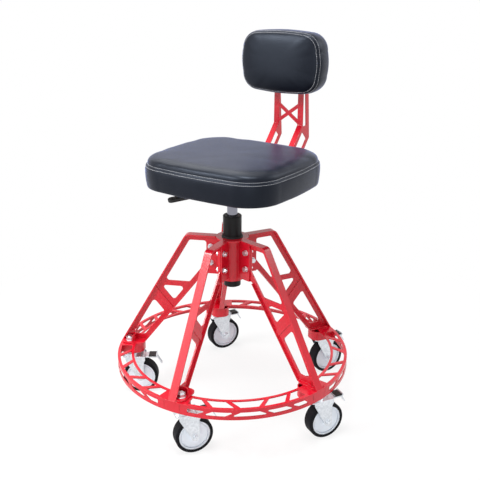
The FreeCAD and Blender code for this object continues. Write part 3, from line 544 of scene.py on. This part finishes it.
def inflate(pad, held):
    """Blow the pad up with a short cloth simulation, with the held points pinned."""
    start = [vertex.co.copy() for vertex in pad.data.vertices]
    group = pad.vertex_groups.new(name="held")
    group.add(held, 1.0, "REPLACE")
    cloth = pad.modifiers.new("inflate", "CLOTH")
    settings = cloth.settings
    settings.quality = cloth_quality
    settings.mass = cloth_mass
    settings.tension_stiffness = cloth_stretch
    settings.compression_stiffness = cloth_stretch
    settings.bending_stiffness = cloth_bend
    settings.use_pressure = True
    settings.uniform_pressure_force = cloth_pressure
    settings.vertex_group_mass = group.name
    settings.effector_weights.gravity = 0.0
    cloth.point_cache.frame_start = 1
    cloth.point_cache.frame_end = cloth_frames
    for step in range(1, cloth_frames + 1):
        scene.frame_set(step)
    depsgraph = bpy.context.evaluated_depsgraph_get()
    blown = pad.evaluated_get(depsgraph).data.vertices
    moves = [vertex.co - before for vertex, before in zip(blown, start)]
    pad.modifiers.remove(cloth)
    pad.vertex_groups.remove(group)
    scene.frame_set(1)
    for vertex, before, move in zip(pad.data.vertices, start, softened(pad, moves)):
        if move.length > swell_limit:
            move *= swell_limit / move.length
        vertex.co = before + move


def ring_points(pad, row, count):
    return [pad.data.vertices[row * count + i] for i in range(count)]


def sew(pad, count, seam_row, stitch_rows):
    """Draw in the seam between the two panels, and dimple the surface under each row of stitches."""
    pad.data.update()
    moves = []
    for row, depth in ((seam_row, groove_depth), *((row, dimple_depth) for row in stitch_rows)):
        moves += [(point, point.normal * -depth) for point in ring_points(pad, row, count)]
    for point, move in moves:
        point.co += move


def ease(pad):
    """Leave the surface slightly uneven, as vinyl over foam is."""
    moves = []
    for vertex in pad.data.vertices:
        lift = noise.noise(vertex.co * unevenness_scale) * unevenness
        moves.append(vertex.co + vertex.normal * lift)
    for vertex, place in zip(pad.data.vertices, moves):
        vertex.co = place


def add_stitch(shape, middle, along, normal):
    """One stitch: a short thread, thickest in its middle, with its ends sunk into the surface."""
    across = normal.cross(along).normalized()
    loops = []
    for place_share, size_share in stitch_profile_shares:
        lift = stitch_r * (size_share - stitch_sink_share)
        centre = middle + along * (place_share * stitch_length) + normal * lift
        loop = []
        for i in range(stitch_sides):
            angle = 2 * math.pi * i / stitch_sides
            ray = across * math.cos(angle) + normal * math.sin(angle)
            loop.append(shape.verts.new(centre + ray * (stitch_r * size_share)))
        loops.append(loop)
    for low, high in zip(loops, loops[1:]):
        for i in range(stitch_sides):
            j = (i + 1) % stitch_sides
            shape.faces.new((low[i], low[j], high[j], high[i]))
    shape.faces.new(loops[0][::-1])
    shape.faces.new(loops[-1])


def stitch_line(name, points):
    """A row of stitches along one closed ring of a pad's points."""
    shape = bmesh.new()
    spans = list(zip(points, points[1:] + points[:1]))
    total = sum((b.co - a.co).length for a, b in spans)
    number = round(total / stitch_pitch)
    pitch = total / number
    walked = 0.0
    due = 0.0
    for a, b in spans:
        span = b.co - a.co
        while due < walked + span.length and number > 0:
            share = (due - walked) / span.length
            normal = a.normal.lerp(b.normal, share).normalized()
            along = (span - normal * span.dot(normal)).normalized()
            add_stitch(shape, a.co + span * share, along, normal)
            due += pitch
            number -= 1
        walked += span.length
    for face in shape.faces:
        face.smooth = True
    made = bpy.data.meshes.new(name)
    shape.to_mesh(made)
    shape.free()
    return made


def show(name, mesh, material, body):
    piece = bpy.data.objects.new(name, mesh)
    scene.collection.objects.link(piece)
    mesh.materials.append(materials[material])
    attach(piece, body)
    return piece


def padded_piece(name, node_name, size, corner, bow, rings, rows, stand):
    """A sewn pad that replaces a node. size is its width, depth and thickness, lying down."""
    width, depth, thickness = size
    outline = pad_outline(width / 2, depth / 2, corner, bow)
    count = len(outline)
    low_row, seam_row, high_row = rows
    pad = bpy.data.objects.new(name, pad_mesh(name, outline, thickness, rings))
    scene.collection.objects.link(pad)
    held_rows = [*range(held_rings), seam_row]
    held = [row * count + i for row in held_rows for i in range(count)]
    held.append(len(rings) * count)
    inflate(pad, held)
    ease(pad)
    sew(pad, count, seam_row, (low_row, high_row))
    pad.data.transform(stand)
    pad.data.materials.append(materials["vinyl"])
    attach(pad, "seat")
    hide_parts(node_name)
    for label, row in (("lower", low_row), ("upper", high_row)):
        stitches = stitch_line(f"{name}_{label}", ring_points(pad, row, count))
        show(f"{name}_stitching_{label}", stitches, "thread", "seat")


def box_size(node_name):
    """A node's size, its middle and its two corners."""
    low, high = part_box(node_name)
    return high - low, (low + high) / 2, low, high


def make_seat():
    size, middle, low, high = box_size("seat_cushion")
    stand = Matrix.Translation((middle.x, middle.y, low.z))
    padded_piece("seat_pad", "seat_cushion", size, seat_corner, seat_bow,
                 pocket_rings(seat_pocket_share, seat_pocket_depth / size.z) + seat_rings,
                 seat_rows, stand)


def make_backrest():
    size, middle, low, high = box_size("backrest_pad")
    stand = Matrix.Translation((middle.x, high.y, middle.z)) @ Matrix.Rotation(right_angle, 4, "X")
    padded_piece("back_pad", "backrest_pad", (size.x, size.z, size.y), back_corner, back_bow,
                 pocket_rings(back_pocket_share, back_pocket_depth / size.y) + back_rings,
                 back_rows, stand)


def pocket_rings(share, depth_share):
    """The pocket for the board: its roof, then its wall down to the rim."""
    return tuple((depth_share, share * part) for part in pocket_roof_shares) + ((pocket_lip_share, share),)


# Brake pedals

def ribbed_insert(length, half_width, height):
    """A moulded foot pad with ribs across it, from x = 0 to length, standing on z = 0."""
    shape = bmesh.new()
    profile = [(0, 0)]
    rib = length / insert_ribs
    for i in range(insert_ribs):
        for place_share, height_share in insert_rib_shares:
            profile.append(((i + place_share) * rib, height * height_share))
    profile.append((length, 0))
    sides = []
    for y in (-half_width, half_width):
        sides.append([shape.verts.new((x, y, z)) for x, z in profile])
    count = len(profile)
    for i in range(count):
        j = (i + 1) % count
        shape.faces.new((sides[0][i], sides[0][j], sides[1][j], sides[1][i]))
    shape.faces.new(sides[0][::-1])
    shape.faces.new(sides[1])
    bmesh.ops.recalc_face_normals(shape, faces=shape.faces)
    made = bpy.data.meshes.new("pedal_insert")
    shape.to_mesh(made)
    shape.free()
    return made


def caster_frame(number):
    """The place of a caster: its stem's axis at the floor, with +X along its trail."""
    joints = {joint["name"]: joint for joint in frame["joints"]}
    stem = joints[f"caster_swivel_{number}"]["pos_m"]
    across = joints[f"wheel_roll_{number}"]["axis"]
    turn = math.atan2(-across[0], across[1])
    return Matrix.Translation((stem[0], stem[1], 0)) @ Matrix.Rotation(turn, 4, "Z")


def make_pedal_inserts():
    for number in caster_numbers:
        mesh = ribbed_insert(insert_length, insert_half_width, insert_height)
        mesh.transform(caster_frame(number) @ Matrix.Translation((insert_start, 0, insert_low_z)))
        name = f"pedal_insert_{number}"
        piece = show(name, mesh, "black_plastic", f"caster_pedal_{number}")
        edge = piece.modifiers.new("edges", "BEVEL")
        edge.width = insert_edge
        edge.segments = insert_edge_steps


make_seat()
make_backrest()
make_pedal_inserts()


# Floor, lights and camera

def camera_rays(tree):
    """1 for what the camera sees directly, in a reflection or through glass, else 0."""
    path = tree.nodes.new("ShaderNodeLightPath")
    total = path.outputs["Is Camera Ray"]
    for name in ("Is Glossy Ray", "Is Transmission Ray"):
        node = tree.nodes.new("ShaderNodeMath")
        node.operation = "MAXIMUM"
        tree.links.new(total, node.inputs[0])
        tree.links.new(path.outputs[name], node.inputs[1])
        total = node.outputs[0]
    return total


def make_floor():
    mesh = bpy.data.meshes.new("floor")
    half = floor_half
    corners = [(-half, -half, 0), (half, -half, 0), (half, half, 0), (-half, half, 0)]
    mesh.from_pydata(corners, [], [range(len(corners))])
    floor = bpy.data.objects.new("floor", mesh)
    scene.collection.objects.link(floor)
    made = bpy.data.materials.new("floor")
    made.use_nodes = True
    tree = made.node_tree
    shader = tree.nodes["Principled BSDF"]
    connect(tree, shader, Base_Color=floor_colour, Roughness=floor_roughness)
    connect(tree, shader, Specular_IOR_Level=floor_specular)
    glow = add_node(tree, "ShaderNodeEmission", Color=white, Strength=1.0)
    away = tree.nodes.new("ShaderNodeVectorMath")
    away.operation = "LENGTH"
    tree.links.new(tree.nodes.new("ShaderNodeTexCoord").outputs["Object"], away.inputs[0])
    faded = spread_between(tree, away.outputs["Value"], *floor_fade)
    share = tree.nodes.new("ShaderNodeMath")
    share.operation = "MULTIPLY"
    tree.links.new(camera_rays(tree), share.inputs[0])
    tree.links.new(spread(tree, faded, floor_glow_share, 1.0), share.inputs[1])
    mix = tree.nodes.new("ShaderNodeMixShader")
    tree.links.new(share.outputs[0], mix.inputs["Fac"])
    tree.links.new(shader.outputs["BSDF"], mix.inputs[1])
    tree.links.new(glow.outputs["Emission"], mix.inputs[2])
    tree.links.new(mix.outputs["Shader"], tree.nodes["Material Output"].inputs["Surface"])
    mesh.materials.append(made)


def make_world():
    world = bpy.data.worlds.new("studio")
    scene.world = world
    world.use_nodes = True
    tree = world.node_tree
    background = tree.nodes["Background"]
    background.inputs["Color"].default_value = white
    tree.links.new(spread(tree, camera_rays(tree), ambient_light, 1.0), background.inputs["Strength"])


def make_light(name, place, target, size, power):
    data = bpy.data.lights.new(name, "AREA")
    data.shape = "SQUARE"
    data.size = size
    data.energy = power
    lamp = bpy.data.objects.new(name, data)
    lamp.location = place
    aim = Vector(target) - Vector(place)
    lamp.rotation_euler = aim.to_track_quat("-Z", "Y").to_euler()
    scene.collection.objects.link(lamp)


def make_camera():
    data = bpy.data.cameras.new("camera")
    data.lens = camera_lens
    data.shift_x, data.shift_y = camera_shift
    camera = bpy.data.objects.new("camera", data)
    turn = math.radians(camera_azimuth)
    away = (camera_distance * math.sin(turn), -camera_distance * math.cos(turn))
    camera.location = (*away, camera_height)
    camera.rotation_euler = (right_angle - math.radians(camera_fall), 0, turn)
    scene.collection.objects.link(camera)
    scene.camera = camera


make_floor()
make_world()
for light in lights:
    make_light(*light)
make_camera()
scene.view_settings.view_transform = "Standard"
